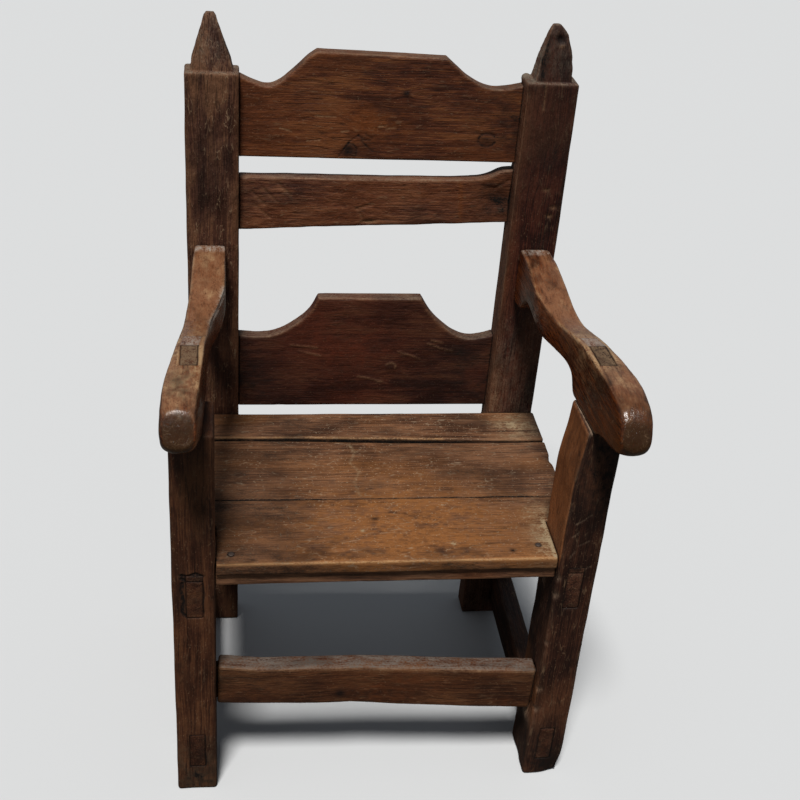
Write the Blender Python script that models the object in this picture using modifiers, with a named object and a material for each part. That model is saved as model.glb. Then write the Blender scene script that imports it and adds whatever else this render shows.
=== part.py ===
"""Friars chair: a joined armchair of hewn timber with a plank seat and a panelled back.

Metres. +X is the viewer's right, +Y the back, +Z up. The chair stands on z = 0, centred on the origin.
"""

from math import atan2, cos, pi, radians, sin

import bmesh
import bpy
from mathutils import Matrix, Vector

# Fit: the gap left wherever two pieces meet
CLEAR = 0.0003

# Arms: how far the nose reaches forward of the back posts
ARM_REACH = 0.486

# Width: half the space between the front legs, and how much closer the back posts stand on each side
LEG_INNER = 0.2415
POST_NARROWING = 0.0357

# Back posts, which run down as the back legs
POST_INNER = LEG_INNER - POST_NARROWING
POST_WIDTH = 0.077
POST_DEPTH = 0.044
POST_ARRIS = 0.003
SHOULDER_Z = 1.000
POST_BACK = (ARM_REACH + POST_DEPTH) / 2
POST_FRONT = POST_BACK - POST_DEPTH
POST_OUTER = POST_INNER + POST_WIDTH

# Finials: rings of the tapering tip, as height above the shoulder, span outward from the post's inner face
# and span behind its front
FINIAL_ROOT = 0.004
FINIAL_LEFT = (
    (0.000, 0.0085, 0.0682, 0.006, 0.039),
    (0.013, 0.0112, 0.0667, 0.008, 0.037),
    (0.073, 0.0316, 0.0492, 0.018, 0.028),
    (0.079, 0.0346, 0.0457, 0.0205, 0.0255),
)
FINIAL_RIGHT = (
    (0.000, 0.0122, 0.0662, 0.006, 0.040),
    (0.035, 0.0187, 0.0637, 0.011, 0.036),
    (0.066, 0.0267, 0.0552, 0.016, 0.032),
    (0.080, 0.0312, 0.0432, 0.020, 0.028),
)

# Front legs, with a shoulder under the arm and a tenon up through it, cut long and dressed level with the arm
LEG_WIDTH = 0.059
LEG_DEPTH = 0.088
LEG_SETBACK = 0.3865
LEG_TOP = 0.652
LEG_ARRIS = 0.004
LEG_FRONT = POST_FRONT - LEG_SETBACK
LEG_BACK = LEG_FRONT + LEG_DEPTH
LEG_OUTER = LEG_INNER + LEG_WIDTH
LEG_TENON_WIDTH = 0.022
LEG_TENON_DEPTH = 0.0575
LEG_TENON_INSET = 0.0285
LEG_TENON_OFF_CENTRE = 0.001
LEG_TENON_X = LEG_INNER + LEG_WIDTH / 2 + LEG_TENON_OFF_CENTRE
LEG_TENON_HIGH = 0.094

# Seat: three boards across the chair, resting on the side rails and the front rail
SEAT_TOP = 0.440
BOARD_THICK = 0.020
BOARD_EDGE = 0.002
BOARD_SHY = 0.0155
BOARD_HALF = LEG_OUTER - BOARD_SHY
REAR_BOARD_DEEP = 0.076
BOARD_GAP = 0.009
MIDDLE_BOARD_DEEP = 0.1515
FRONT_BOARD_SET = 0.002
NOTCH_GAP = 0.0015
RAIL_TOP = SEAT_TOP - BOARD_THICK - CLEAR
REAR_BOARD_BACK = POST_FRONT - CLEAR
REAR_BOARD_FRONT = REAR_BOARD_BACK - REAR_BOARD_DEEP
MIDDLE_BOARD_BACK = REAR_BOARD_FRONT - BOARD_GAP
MIDDLE_BOARD_FRONT = MIDDLE_BOARD_BACK - MIDDLE_BOARD_DEEP
FRONT_BOARD_BACK = MIDDLE_BOARD_FRONT - CLEAR
FRONT_BOARD_FRONT = LEG_FRONT + FRONT_BOARD_SET

# Side rails and side stretchers, both tenoned right through the front legs
SIDE_SET = 0.012
SIDE_INNER = LEG_INNER + SIDE_SET
SIDE_THICK = 0.029
SIDE_OUTER = SIDE_INNER + SIDE_THICK
SIDE_EDGE = 0.002
SIDE_SHOULDERS = (0.0045, 0.0015)
SIDE_TENON_INNER = SIDE_INNER + SIDE_SHOULDERS[0]
SIDE_TENON_OUTER = SIDE_OUTER - SIDE_SHOULDERS[1]
SIDE_BACK_SHOULDER = 0.010
SIDE_BACK_TENON_LONG = 0.028
SIDE_RAIL_HIGH = 0.0745
SIDE_RAIL_LOW_Z = RAIL_TOP - SIDE_RAIL_HIGH
SIDE_TENON_RISE = 0.0015
SIDE_TENON_HEIGHT = 0.0660
SIDE_BACK_TENON_TRIM = 0.010
SIDE_STRETCHER_HIGH = 0.074
SIDE_STRETCHER_LOW_Z = {"left": 0.048, "right": 0.033}

# Wedges driven over the side rail tenons from the front
WEDGE_FRONT = 0.0085
WEDGE_TIP = 0.0045
WEDGE_LONG = 0.052

# Front and back seat rails
FRONT_RAIL_HIGH = 0.0215
FRONT_RAIL_THICK = 0.036
FRONT_RAIL_SET = 0.0085
FRONT_RAIL_TENON = 0.014
BACK_RAIL_HIGH = 0.070
BACK_RAIL_DROP = 0.0077
BACK_RAIL_TENON_TRIM = 0.0105
BACK_RAIL_TOP = RAIL_TOP - BACK_RAIL_DROP
BACK_RAIL_LOW = BACK_RAIL_TOP - BACK_RAIL_HIGH

# Front stretcher, set in a little askew
STRETCHER_HIGH = 0.077
STRETCHER_THICK = 0.030
STRETCHER_MID_Z = 0.1855
STRETCHER_SET = 0.0185
STRETCHER_DROP = radians(1.42)
STRETCHER_TURN = radians(1.42)
STRETCHER_TENON_LONG = 0.024
STRETCHER_SHOULDER = 0.0085

# Back: crest, middle rail and lower panel between the posts. Outline points are (share of the half width,
# height), from the posts' shoulders for the crest and middle rail and from the seat for the panel
BACK_THICK = 0.022
BACK_SET = 0.021
BACK_EDGE = 0.0015
BACK_TENON_THICK = 0.012
BACK_TENON_LONG = 0.024
RAIL_HALF = POST_INNER - CLEAR
CREST_BOTTOM = -0.129
CREST_FLAT = ((0.4380, 0.0245), (-0.4696, 0.0285))
CREST_RIGHT_SCOOP = ((0.8759, -0.0165), (0.7640, -0.0170), (0.6034, -0.0025), (0.5280, 0.0095))
CREST_LEFT_SCOOP = (
    (-0.5280, 0.0195),
    (-0.5912, 0.0065),
    (-0.6594, -0.0065),
    (-0.7299, -0.0180),
    (-0.8029, -0.0235),
    (-0.9002, -0.0190),
)
CREST_ENDS = (-0.0115, -0.0100)
CREST_TENON = (-0.112, -0.034)
MIDDLE_RAIL_LEFT = (-0.245, -0.161)
MIDDLE_RAIL_RIGHT = (-0.226, -0.141)
MIDDLE_RAIL_LIFT = ((0.9200, -0.1435), (0.8300, -0.1525), (0.7400, -0.1570))
MIDDLE_RAIL_TENON = (-0.218, -0.172)
PANEL_BOTTOM = 0.0025
PANEL_FLAT = ((0.4015, 0.2000), (-0.3966, 0.2000))
PANEL_RIGHT_SCOOP = ((0.9051, 0.1300), (0.7981, 0.1280), (0.6910, 0.1355), (0.6058, 0.1480), (0.4964, 0.1700))
PANEL_LEFT_SCOOP = ((-0.4550, 0.1750), (-0.5693, 0.1525), (-0.7202, 0.1345), (-0.8273, 0.1305))
PANEL_ENDS = (0.1355, 0.1325)
PANEL_TENON = (0.018, 0.112)

# Arms: edges in plan, out from the leg's inner face, and in side view, up from the leg's shoulder.
# Each point is (reach forward of the posts, position)
ARM_INNER = (
    (0.000, -0.0165),
    (0.120, -0.0153),
    (0.150, -0.0070),
    (0.180, 0.0010),
    (0.210, 0.0055),
    (0.272, 0.0090),
    (0.340, 0.0118),
    (0.420, 0.0155),
    (0.462, 0.0168),
    (0.474, 0.0182),
    (0.482, 0.0215),
    (ARM_REACH, 0.0280),
)
ARM_OUTER = (
    (0.000, 0.0305),
    (0.120, 0.0357),
    (0.210, 0.0420),
    (0.297, 0.0493),
    (0.385, 0.0600),
    (0.445, 0.0645),
    (0.462, 0.0652),
    (0.474, 0.0638),
    (0.482, 0.0600),
    (ARM_REACH, 0.0535),
)
ARM_TOP = (
    (0.000, 0.0890),
    (0.048, 0.0885),
    (0.080, 0.0830),
    (0.120, 0.0745),
    (0.150, 0.0665),
    (0.180, 0.0625),
    (0.210, 0.0650),
    (0.272, 0.0798),
    (0.297, 0.0842),
    (0.340, 0.0878),
    (0.420, 0.0900),
    (0.445, 0.0885),
    (0.462, 0.0840),
    (0.474, 0.0760),
    (0.482, 0.0655),
    (ARM_REACH, 0.0525),
)
ARM_UNDER = (
    (0.000, -0.0040),
    (0.042, 0.0040),
    (0.054, 0.0180),
    (0.066, 0.0310),
    (0.084, 0.0340),
    (0.115, 0.0320),
    (0.138, 0.0190),
    (0.157, 0.0145),
    (0.199, 0.0185),
    (0.242, 0.0270),
    (0.267, 0.0250),
    (0.280, 0.0170),
    (0.290, CLEAR),
    (0.392, CLEAR),
    (0.402, 0.0090),
    (0.420, 0.0120),
    (0.445, 0.0135),
    (0.462, 0.0170),
    (0.474, 0.0220),
    (0.482, 0.0280),
    (ARM_REACH, 0.0380),
)
# The arrises are crisp along the arm and worn round at the nose
ARM_ROUND = ((0.000, 0.0045), (0.400, 0.0045), (0.462, 0.0120), (ARM_REACH, 0.0140))
ARM_ROUND_SHARE = 0.45
ARM_ROUND_STEPS = 3
ARM_END_HOLD = 0.0015
ARM_TENON_X = (-0.0055, 0.0205)
ARM_TENON_Z = (0.014, 0.070)
ARM_TENON_LONG = 0.030

# Seat nails through the front board into the front rail
# Each is placed as (in from the leg, back from the board's front edge)
NAIL_SPOTS = {"left": (0.0220, 0.0225), "right": (0.0245, 0.0300)}
NAIL_HEAD = 0.0045
NAIL_HEAD_HIGH = 0.0012
NAIL_CROWN = 0.0027
NAIL_CROWN_HIGH = 0.0011
NAIL_SHANK = 0.0018
NAIL_LONG = 0.034
NAIL_POINT = 0.007
NAIL_SIDES = 12

# Colours seen on the piece
POST_BROWN = "4b2d22"
LEG_BROWN = "5f3f2d"
BACK_BROWN = "50302a"
ARM_BROWN = "a06c41"
SEAT_BROWN = "9a6d49"
RAIL_BROWN = "84634e"
IRON_GREY = "3b3530"


def start():
    """Empties the scene and makes the collections and the empty that carries the chair."""
    for obj in list(bpy.data.objects):
        bpy.data.objects.remove(obj, do_unlink=True)
    made = []
    for name in ("friars_chair", "cutters"):
        collection = bpy.data.collections.new(name)
        bpy.context.scene.collection.children.link(collection)
        made.append(collection)
    frame = bpy.data.objects.new("chair_frame", None)
    made[0].objects.link(frame)
    return made[0], made[1], frame


CHAIR, CUTTERS, FRAME = start()


def linear(code):
    """An sRGB hex colour as the linear values a shader takes."""
    parts = [int(code[i : i + 2], 16) / 255 for i in (0, 2, 4)]
    return [c / 12.92 if c <= 0.04045 else ((c + 0.055) / 1.055) ** 2.4 for c in parts] + [1.0]


def finish(obj, colour, roughness, metallic=0.0):
    """Puts a piece in the chair with its own material."""
    material = bpy.data.materials.new(obj.name + "_finish")
    material.use_nodes = True
    shader = material.node_tree.nodes["Principled BSDF"]
    shader.inputs["Base Color"].default_value = linear(colour)
    shader.inputs["Roughness"].default_value = roughness
    shader.inputs["Metallic"].default_value = metallic
    obj.data.materials.append(material)
    CUTTERS.objects.unlink(obj)
    CHAIR.objects.link(obj)
    obj.parent = FRAME
    obj.hide_render = False
    obj.display_type = "TEXTURED"
    return obj


def held(name, mesh):
    """A new object among the cutters. A piece leaves them when it is finished."""
    obj = bpy.data.objects.new(name, mesh)
    CUTTERS.objects.link(obj)
    obj.hide_render = True
    obj.display_type = "WIRE"
    return obj


def block(name, low, high, frame=None):
    """A square timber between two corners, in the axes of frame."""
    low, high = Vector(low), Vector(high)
    bm = bmesh.new()
    bmesh.ops.create_cube(bm, size=1.0)
    bmesh.ops.scale(bm, vec=high - low, verts=bm.verts)
    mesh = bpy.data.meshes.new(name)
    bm.to_mesh(mesh)
    bm.free()
    obj = held(name, mesh)
    obj.matrix_world = (frame or Matrix()) @ Matrix.Translation((low + high) / 2)
    return obj


def mirrored(side, low, high):
    """The corners of a block on the left or right of the chair, from those on the right."""
    if side == "right":
        return Vector(low), Vector(high)
    return Vector((-high[0], low[1], low[2])), Vector((-low[0], high[1], high[2]))


def ease(obj, width, segments=2):
    """Wears the arrises of a piece round."""
    bevel = obj.modifiers.new("worn arris", "BEVEL")
    bevel.width = width
    bevel.segments = segments
    bevel.limit_method = "ANGLE"
    bevel.angle_limit = radians(40)


def combine(obj, other, operation):
    boolean = obj.modifiers.new(other.name, "BOOLEAN")
    boolean.object = other
    boolean.operation = operation
    boolean.solver = "EXACT"


def hollow(host, name, low, high, frame=None):
    """Cuts a square mortise that leaves the fit round what goes in it."""
    gap = Vector((CLEAR, CLEAR, CLEAR))
    combine(host, block(name, Vector(low) - gap, Vector(high) + gap, frame), "DIFFERENCE")


def joint(piece, host, low, high, frame=None):
    """Gives the piece a tenon between these corners, and the host the mortise for it."""
    name = piece.name + "_into_" + host.name
    combine(piece, block(name + "_tenon", low, high, frame), "UNION")
    hollow(host, name + "_mortise", low, high, frame)


def loft(name, rings):
    """A solid skinned over closed rings of points, with flat ends."""
    bm = bmesh.new()
    before = None
    for points in rings:
        verts = [bm.verts.new(point) for point in points]
        edges = [bm.edges.new(pair) for pair in zip(verts, verts[1:] + verts[:1])]
        if before is None:
            bmesh.ops.contextual_create(bm, geom=edges)
        else:
            bmesh.ops.bridge_loops(bm, edges=before + edges)
        before = edges
    bmesh.ops.contextual_create(bm, geom=before)
    bmesh.ops.recalc_face_normals(bm, faces=bm.faces)
    mesh = bpy.data.meshes.new(name)
    bm.to_mesh(mesh)
    bm.free()
    return held(name, mesh)


def shaped_board(name, corners, thick, front):
    """A board sawn to an outline in front view. Corners are (x, z, smooth)."""
    curve = bpy.data.curves.new(name + "_outline", "CURVE")
    curve.dimensions = "2D"
    curve.fill_mode = "BOTH"
    curve.resolution_u = 5
    curve.bevel_depth = BACK_EDGE
    curve.bevel_resolution = 0
    curve.offset = -BACK_EDGE
    curve.extrude = thick / 2 - BACK_EDGE
    spline = curve.splines.new("BEZIER")
    spline.bezier_points.add(len(corners) - 1)
    spline.use_cyclic_u = True
    for point, (x, z, smooth) in zip(spline.bezier_points, corners):
        point.co = (x, z, 0)
        point.handle_left_type = point.handle_right_type = "AUTO" if smooth else "VECTOR"
    guide = held(name + "_outline", curve)
    bpy.context.view_layer.update()
    mesh = bpy.data.meshes.new_from_object(guide.evaluated_get(bpy.context.evaluated_depsgraph_get()))
    bpy.data.objects.remove(guide, do_unlink=True)
    bm = bmesh.new()
    bm.from_mesh(mesh)
    bmesh.ops.remove_doubles(bm, verts=bm.verts, dist=0.0001)
    bmesh.ops.recalc_face_normals(bm, faces=bm.faces)
    bm.to_mesh(mesh)
    bm.free()
    mesh.name = name
    obj = held(name, mesh)
    obj.location = (0, front + thick / 2, 0)
    obj.rotation_euler = (pi / 2, 0, 0)
    return obj


def straight_outline(left, right):
    """The outline of a straight rail, from the low and high edge at each end."""
    ends = ((-RAIL_HALF, left[0]), (RAIL_HALF, right[0]), (RAIL_HALF, right[1]), (-RAIL_HALF, left[1]))
    return [(x, z, False) for x, z in ends]


def topped_outline(corners, base, lines):
    """A straight outline with the lines of points, smooth or not, that shape its top from right to left."""
    top = [(share * RAIL_HALF, base + z, smooth) for line, smooth in lines for share, z in line]
    return corners[:3] + top + corners[3:]


def scooped_outline(base, bottom, ends, flat, right_scoop, left_scoop):
    """The outline shared by the crest and the lower panel: a flat top between two scoops."""
    corners = straight_outline((base + bottom, base + ends[1]), (base + bottom, base + ends[0]))
    return topped_outline(corners, base, ((right_scoop, True), (flat, False), (left_scoop, True)))


def reading(line, reach):
    """The position on an edge of the arm at this reach."""
    for (r0, p0), (r1, p1) in zip(line, line[1:]):
        if reach <= r1:
            return p0 + (p1 - p0) * (reach - r0) / (r1 - r0)
    return line[-1][1]


def arm_ring(reach, sign):
    """A rounded section of the arm across its length."""
    x0, x1 = (LEG_INNER + reading(line, reach) for line in (ARM_INNER, ARM_OUTER))
    z0, z1 = (LEG_TOP + reading(line, reach) for line in (ARM_UNDER, ARM_TOP))
    r = min(reading(ARM_ROUND, reach), ARM_ROUND_SHARE * (x1 - x0), ARM_ROUND_SHARE * (z1 - z0))
    y = POST_FRONT - max(reach, CLEAR)
    ring = []
    for quarter, (x, z) in enumerate(((x1 - r, z1 - r), (x0 + r, z1 - r), (x0 + r, z0 + r), (x1 - r, z0 + r))):
        for step in range(ARM_ROUND_STEPS):
            turn = pi / 2 * (quarter + step / (ARM_ROUND_STEPS - 1))
            ring.append((sign * (x + r * cos(turn)), y, z + r * sin(turn)))
    return ring


def make_arm(side):
    sign = 1 if side == "right" else -1
    lines = (ARM_INNER, ARM_OUTER, ARM_TOP, ARM_UNDER)
    reaches = sorted({reach for line in lines for reach, _ in line} | {ARM_END_HOLD})
    arm = loft("arm_" + side, [arm_ring(reach, sign) for reach in reaches])
    smooth = arm.modifiers.new("hewn curve", "SUBSURF")
    smooth.levels = smooth.render_levels = 1
    return arm


def make_post(side):
    rings = FINIAL_RIGHT if side == "right" else FINIAL_LEFT
    low, high = mirrored(side, (POST_INNER, POST_FRONT, 0), (POST_OUTER, POST_BACK, SHOULDER_Z))
    post = block("back_post_" + side, low, high)
    ease(post, POST_ARRIS)
    levels = [(-FINIAL_ROOT, *rings[0][1:])] + list(rings)
    squares = []
    for rise, inner, outer, front, back in levels:
        z = SHOULDER_Z + rise
        near = (POST_INNER + inner, POST_FRONT + front, z)
        low, high = mirrored(side, near, (POST_INNER + outer, POST_FRONT + back, z))
        squares.append([(low.x, low.y, z), (high.x, low.y, z), (high.x, high.y, z), (low.x, high.y, z)])
    combine(post, loft("finial_" + side, squares), "UNION")
    return post


def dress_level(leg, low, high):
    """Cuts the end of the leg's tenon level with the arm's top."""
    front, back = (Vector((0, y, LEG_TOP + reading(ARM_TOP, POST_FRONT - y))) for y in (low.y, high.y))
    slope = atan2(back.z - front.z, back.y - front.y)
    level = Matrix.Translation((front + back) / 2) @ Matrix.Rotation(slope, 4, "X")
    half = LEG_OUTER + LEG_WIDTH
    waste = block(leg.name + "_dressing", (-half, -LEG_DEPTH, 0), (half, LEG_DEPTH, LEG_DEPTH), level)
    combine(leg, waste, "DIFFERENCE")


def make_leg(side):
    low, high = mirrored(side, (LEG_INNER, LEG_FRONT, 0), (LEG_OUTER, LEG_BACK, LEG_TOP))
    leg = block("front_leg_" + side, low, high)
    ease(leg, LEG_ARRIS)
    return leg


def side_piece(name, side, low_z, high_z, leg, post):
    """A rail or stretcher along one side, through the front leg and into the back post."""
    low, high = mirrored(side, (SIDE_INNER, LEG_BACK + CLEAR, low_z), (SIDE_OUTER, POST_FRONT - CLEAR, high_z))
    piece = block(name + "_" + side, low, high)
    ease(piece, SIDE_EDGE)
    tenon_low = low_z + SIDE_TENON_RISE
    root = 2 * SIDE_BACK_TENON_TRIM
    low, high = mirrored(
        side,
        (SIDE_TENON_INNER, LEG_FRONT, tenon_low),
        (SIDE_TENON_OUTER, LEG_BACK + root, tenon_low + SIDE_TENON_HEIGHT),
    )
    joint(piece, leg, low, high)
    low, high = mirrored(
        side,
        (SIDE_INNER + SIDE_EDGE, POST_FRONT - root, low_z + SIDE_BACK_TENON_TRIM),
        (SIDE_OUTER - SIDE_BACK_SHOULDER, POST_FRONT + SIDE_BACK_TENON_LONG, high_z - SIDE_BACK_TENON_TRIM),
    )
    joint(piece, post, low, high)
    return piece


def make_wedge(side, leg):
    """A wedge over the side rail's tenon, and the room above the tenon that takes it."""
    floor = SIDE_RAIL_LOW_Z + SIDE_TENON_RISE + SIDE_TENON_HEIGHT + CLEAR
    top = floor + WEDGE_FRONT
    near = (SIDE_TENON_INNER, LEG_FRONT, floor)
    low, high = mirrored(side, near, (SIDE_TENON_OUTER, LEG_FRONT + WEDGE_LONG, top))
    hollow(leg, "wedge_room_" + side, low, high)
    rings = []
    for y, bottom in ((low.y, floor), (high.y, top - WEDGE_TIP)):
        rings.append([(low.x, y, bottom), (high.x, y, bottom), (high.x, y, top), (low.x, y, top)])
    return loft("tenon_wedge_" + side, rings)


def across(piece, low_y, high_y, z_span, long, posts, half):
    """Tenons on both ends of a piece that runs across the chair, into the posts or legs it meets."""
    root = 2 * long
    for side, host in posts.items():
        corners = mirrored(side, (half - root, low_y, z_span[0]), (half + long, high_y, z_span[1]))
        joint(piece, host, *corners)


def make_nail(side, board, rail):
    """A forged nail turned from its profile, with the hole it makes in the board and the rail."""
    in_from_leg, back = NAIL_SPOTS[side]
    x = (LEG_INNER - in_from_leg) * (1 if side == "right" else -1)
    y = FRONT_BOARD_FRONT + back
    profile = (
        (0.0, NAIL_HEAD_HIGH),
        (NAIL_CROWN, NAIL_CROWN_HIGH),
        (NAIL_HEAD, 0.0),
        (NAIL_SHANK, 0.0),
        (NAIL_SHANK, NAIL_POINT - NAIL_LONG),
        (0.0, -NAIL_LONG),
    )
    bm = bmesh.new()
    verts = [bm.verts.new((r, 0, z)) for r, z in profile]
    for pair in zip(verts, verts[1:]):
        bm.edges.new(pair)
    mesh = bpy.data.meshes.new("seat_nail_" + side)
    bm.to_mesh(mesh)
    bm.free()
    nail = held("seat_nail_" + side, mesh)
    nail.location = (x, y, SEAT_TOP + CLEAR)
    turn = nail.modifiers.new("turned", "SCREW")
    turn.steps = turn.render_steps = NAIL_SIDES
    turn.use_merge_vertices = True
    turn.merge_threshold = 0.0001
    bm = bmesh.new()
    radius = NAIL_SHANK + 2 * CLEAR
    bmesh.ops.create_cone(
        bm, cap_ends=True, segments=NAIL_SIDES, radius1=radius, radius2=radius, depth=2 * NAIL_LONG + 2 * CLEAR
    )
    mesh = bpy.data.meshes.new("nail_hole_" + side)
    bm.to_mesh(mesh)
    bm.free()
    hole = held("nail_hole_" + side, mesh)
    hole.location = (x, y, SEAT_TOP)
    for host in (board, rail):
        combine(host, hole, "DIFFERENCE")
    return nail


def make_seat():
    """The three boards: the front one is notched round the front legs."""
    base = SEAT_TOP - BOARD_THICK
    spans = {
        "rear": (REAR_BOARD_FRONT, REAR_BOARD_BACK),
        "middle": (MIDDLE_BOARD_FRONT, MIDDLE_BOARD_BACK),
        "front": (FRONT_BOARD_FRONT, FRONT_BOARD_BACK),
    }
    boards = {}
    for name, (front, back) in spans.items():
        board = block("seat_board_" + name, (-BOARD_HALF, front, base), (BOARD_HALF, back, SEAT_TOP))
        ease(board, BOARD_EDGE)
        boards[name] = board
    for side in ("left", "right"):
        low, high = mirrored(
            side,
            (LEG_INNER - NOTCH_GAP, LEG_FRONT - LEG_DEPTH, base - BOARD_THICK),
            (LEG_OUTER + LEG_WIDTH, LEG_BACK + NOTCH_GAP, SEAT_TOP + BOARD_THICK),
        )
        combine(boards["front"], block("notch_" + side, low, high), "DIFFERENCE")
    return boards


def make_chair():
    legs, posts = {}, {}
    for side in ("left", "right"):
        leg, post = make_leg(side), make_post(side)
        legs[side], posts[side] = leg, post
        arm = make_arm(side)
        tenon_x, inset = LEG_TENON_X - LEG_TENON_WIDTH / 2, LEG_FRONT + LEG_TENON_INSET
        low, high = mirrored(
            side,
            (tenon_x, inset, LEG_TOP - LEG_DEPTH / 2),
            (tenon_x + LEG_TENON_WIDTH, inset + LEG_TENON_DEPTH, LEG_TOP + LEG_TENON_HIGH),
        )
        joint(leg, arm, low, high)
        dress_level(leg, low, high)
        low, high = mirrored(
            side,
            (LEG_INNER + ARM_TENON_X[0], POST_FRONT - ARM_TENON_LONG, LEG_TOP + ARM_TENON_Z[0]),
            (LEG_INNER + ARM_TENON_X[1], POST_FRONT + ARM_TENON_LONG, LEG_TOP + ARM_TENON_Z[1]),
        )
        joint(arm, post, low, high)
        rail = side_piece("seat_rail", side, SIDE_RAIL_LOW_Z, RAIL_TOP, leg, post)
        step = SIDE_STRETCHER_LOW_Z[side]
        stretcher = side_piece("side_stretcher", side, step, step + SIDE_STRETCHER_HIGH, leg, post)
        wedge = make_wedge(side, leg)
        finish(leg, LEG_BROWN, 0.55)
        finish(post, POST_BROWN, 0.5)
        finish(arm, ARM_BROWN, 0.35)
        finish(rail, LEG_BROWN, 0.6)
        finish(stretcher, LEG_BROWN, 0.6)
        finish(wedge, RAIL_BROWN, 0.7)

    boards = make_seat()
    front = LEG_FRONT + FRONT_RAIL_SET
    leg_half = LEG_INNER - CLEAR
    front_rail = block(
        "seat_rail_front",
        (-leg_half, front, RAIL_TOP - FRONT_RAIL_HIGH),
        (leg_half, front + FRONT_RAIL_THICK, RAIL_TOP),
    )
    ease(front_rail, SIDE_EDGE)
    trim = 2 * SIDE_EDGE
    across(
        front_rail,
        front + trim,
        front + FRONT_RAIL_THICK - trim,
        (RAIL_TOP - FRONT_RAIL_HIGH + trim, RAIL_TOP - trim),
        FRONT_RAIL_TENON,
        legs,
        LEG_INNER,
    )
    for side in ("left", "right"):
        finish(make_nail(side, boards["front"], front_rail), IRON_GREY, 0.6, 0.8)
    finish(front_rail, RAIL_BROWN, 0.6)
    for board in boards.values():
        finish(board, SEAT_BROWN, 0.5)

    middle = Matrix.Translation((0, LEG_FRONT + STRETCHER_SET + STRETCHER_THICK / 2, STRETCHER_MID_Z))
    askew = middle @ Matrix.Rotation(-STRETCHER_TURN, 4, "Z") @ Matrix.Rotation(STRETCHER_DROP, 4, "Y")
    reach = LEG_INNER - 4 * CLEAR - STRETCHER_HIGH / 2 * sin(STRETCHER_DROP)
    half = Vector((reach, STRETCHER_THICK / 2, STRETCHER_HIGH / 2))
    stretcher = block("front_stretcher", -half, half, askew)
    ease(stretcher, LEG_ARRIS)
    cheek = Vector((0, half.y / 2, half.z - STRETCHER_SHOULDER))
    for sign in (-1, 1):
        near, far = sorted((sign * (reach - STRETCHER_TENON_LONG), sign * (LEG_INNER + STRETCHER_TENON_LONG)))
        low, high = Vector((near, -cheek.y, -cheek.z)), Vector((far, cheek.y, cheek.z))
        joint(stretcher, legs["right" if sign > 0 else "left"], low, high, askew)
    finish(stretcher, LEG_BROWN, 0.5)

    front = POST_FRONT + BACK_SET
    cheek = front + (BACK_THICK - BACK_TENON_THICK) / 2
    panel_lines = (PANEL_BOTTOM, PANEL_ENDS, PANEL_FLAT, PANEL_RIGHT_SCOOP, PANEL_LEFT_SCOOP)
    crest_lines = (CREST_BOTTOM, CREST_ENDS, CREST_FLAT, CREST_RIGHT_SCOOP, CREST_LEFT_SCOOP)
    middle_ends = [[SHOULDER_Z + z for z in span] for span in (MIDDLE_RAIL_LEFT, MIDDLE_RAIL_RIGHT)]
    middle_corners = straight_outline(*middle_ends)
    back_span = (BACK_RAIL_LOW, BACK_RAIL_TOP)
    back_tenon = (BACK_RAIL_LOW + BACK_RAIL_TENON_TRIM, BACK_RAIL_TOP - BACK_RAIL_TENON_TRIM)
    back_pieces = {
        "crest_rail": (scooped_outline(SHOULDER_Z, *crest_lines), [SHOULDER_Z + z for z in CREST_TENON]),
        "middle_back_rail": (
            topped_outline(middle_corners, SHOULDER_Z, [(MIDDLE_RAIL_LIFT, True)]),
            [SHOULDER_Z + z for z in MIDDLE_RAIL_TENON],
        ),
        "lower_back_panel": (scooped_outline(SEAT_TOP, *panel_lines), [SEAT_TOP + z for z in PANEL_TENON]),
        "seat_rail_back": (straight_outline(back_span, back_span), back_tenon),
    }
    for name, (corners, tenon_z) in back_pieces.items():
        piece = shaped_board(name, corners, BACK_THICK, front)
        across(piece, cheek, cheek + BACK_TENON_THICK, tenon_z, BACK_TENON_LONG, posts, POST_INNER)
        finish(piece, BACK_BROWN, 0.5)


make_chair()
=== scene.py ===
"""Looks of an old friars chair: hewn and stained pine, worn bare where hands, backs and feet rub it.

Metres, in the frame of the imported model: +X is the viewer's right, +Y the back, +Z up.
"""

from itertools import product
from math import cos, radians, sin

import bpy
import numpy as np
from mathutils import Matrix, Vector
from mathutils.bvhtree import BVHTree


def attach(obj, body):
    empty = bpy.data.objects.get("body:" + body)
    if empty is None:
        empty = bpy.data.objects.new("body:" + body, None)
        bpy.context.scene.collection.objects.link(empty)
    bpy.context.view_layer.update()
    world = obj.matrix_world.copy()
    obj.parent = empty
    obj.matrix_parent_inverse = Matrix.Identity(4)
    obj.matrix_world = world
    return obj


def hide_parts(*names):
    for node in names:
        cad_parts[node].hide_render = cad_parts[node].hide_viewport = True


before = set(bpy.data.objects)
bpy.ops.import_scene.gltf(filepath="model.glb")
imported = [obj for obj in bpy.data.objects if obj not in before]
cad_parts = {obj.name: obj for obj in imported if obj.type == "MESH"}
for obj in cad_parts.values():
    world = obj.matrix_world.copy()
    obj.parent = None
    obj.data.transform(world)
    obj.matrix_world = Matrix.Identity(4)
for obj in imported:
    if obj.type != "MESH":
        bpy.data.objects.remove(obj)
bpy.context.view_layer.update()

MM = 0.001

# Camera, where the photograph was taken from: left of the middle, looking down and a little to the right
CAMERA_PLACE = Vector((-0.2249, -1.5066, 1.5399))
CAMERA_PITCH = radians(31.559)
CAMERA_YAW = radians(9.234)
CAMERA_ROLL = radians(4.686)
CAMERA_LENS = 56.21
CAMERA_SENSOR = 36.0
CAMERA_SHIFT = 0.00125

# Skin: spacing of the points that carry the worn surface
SKIN = 1.8 * MM
FINE_SKIN = 1.3 * MM
LEG_SKIN = 1.65 * MM
COARSE_SKIN = 2.4 * MM
WEDGE_SKIN = 0.9 * MM
NAIL_SKIN = 0.5 * MM

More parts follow.
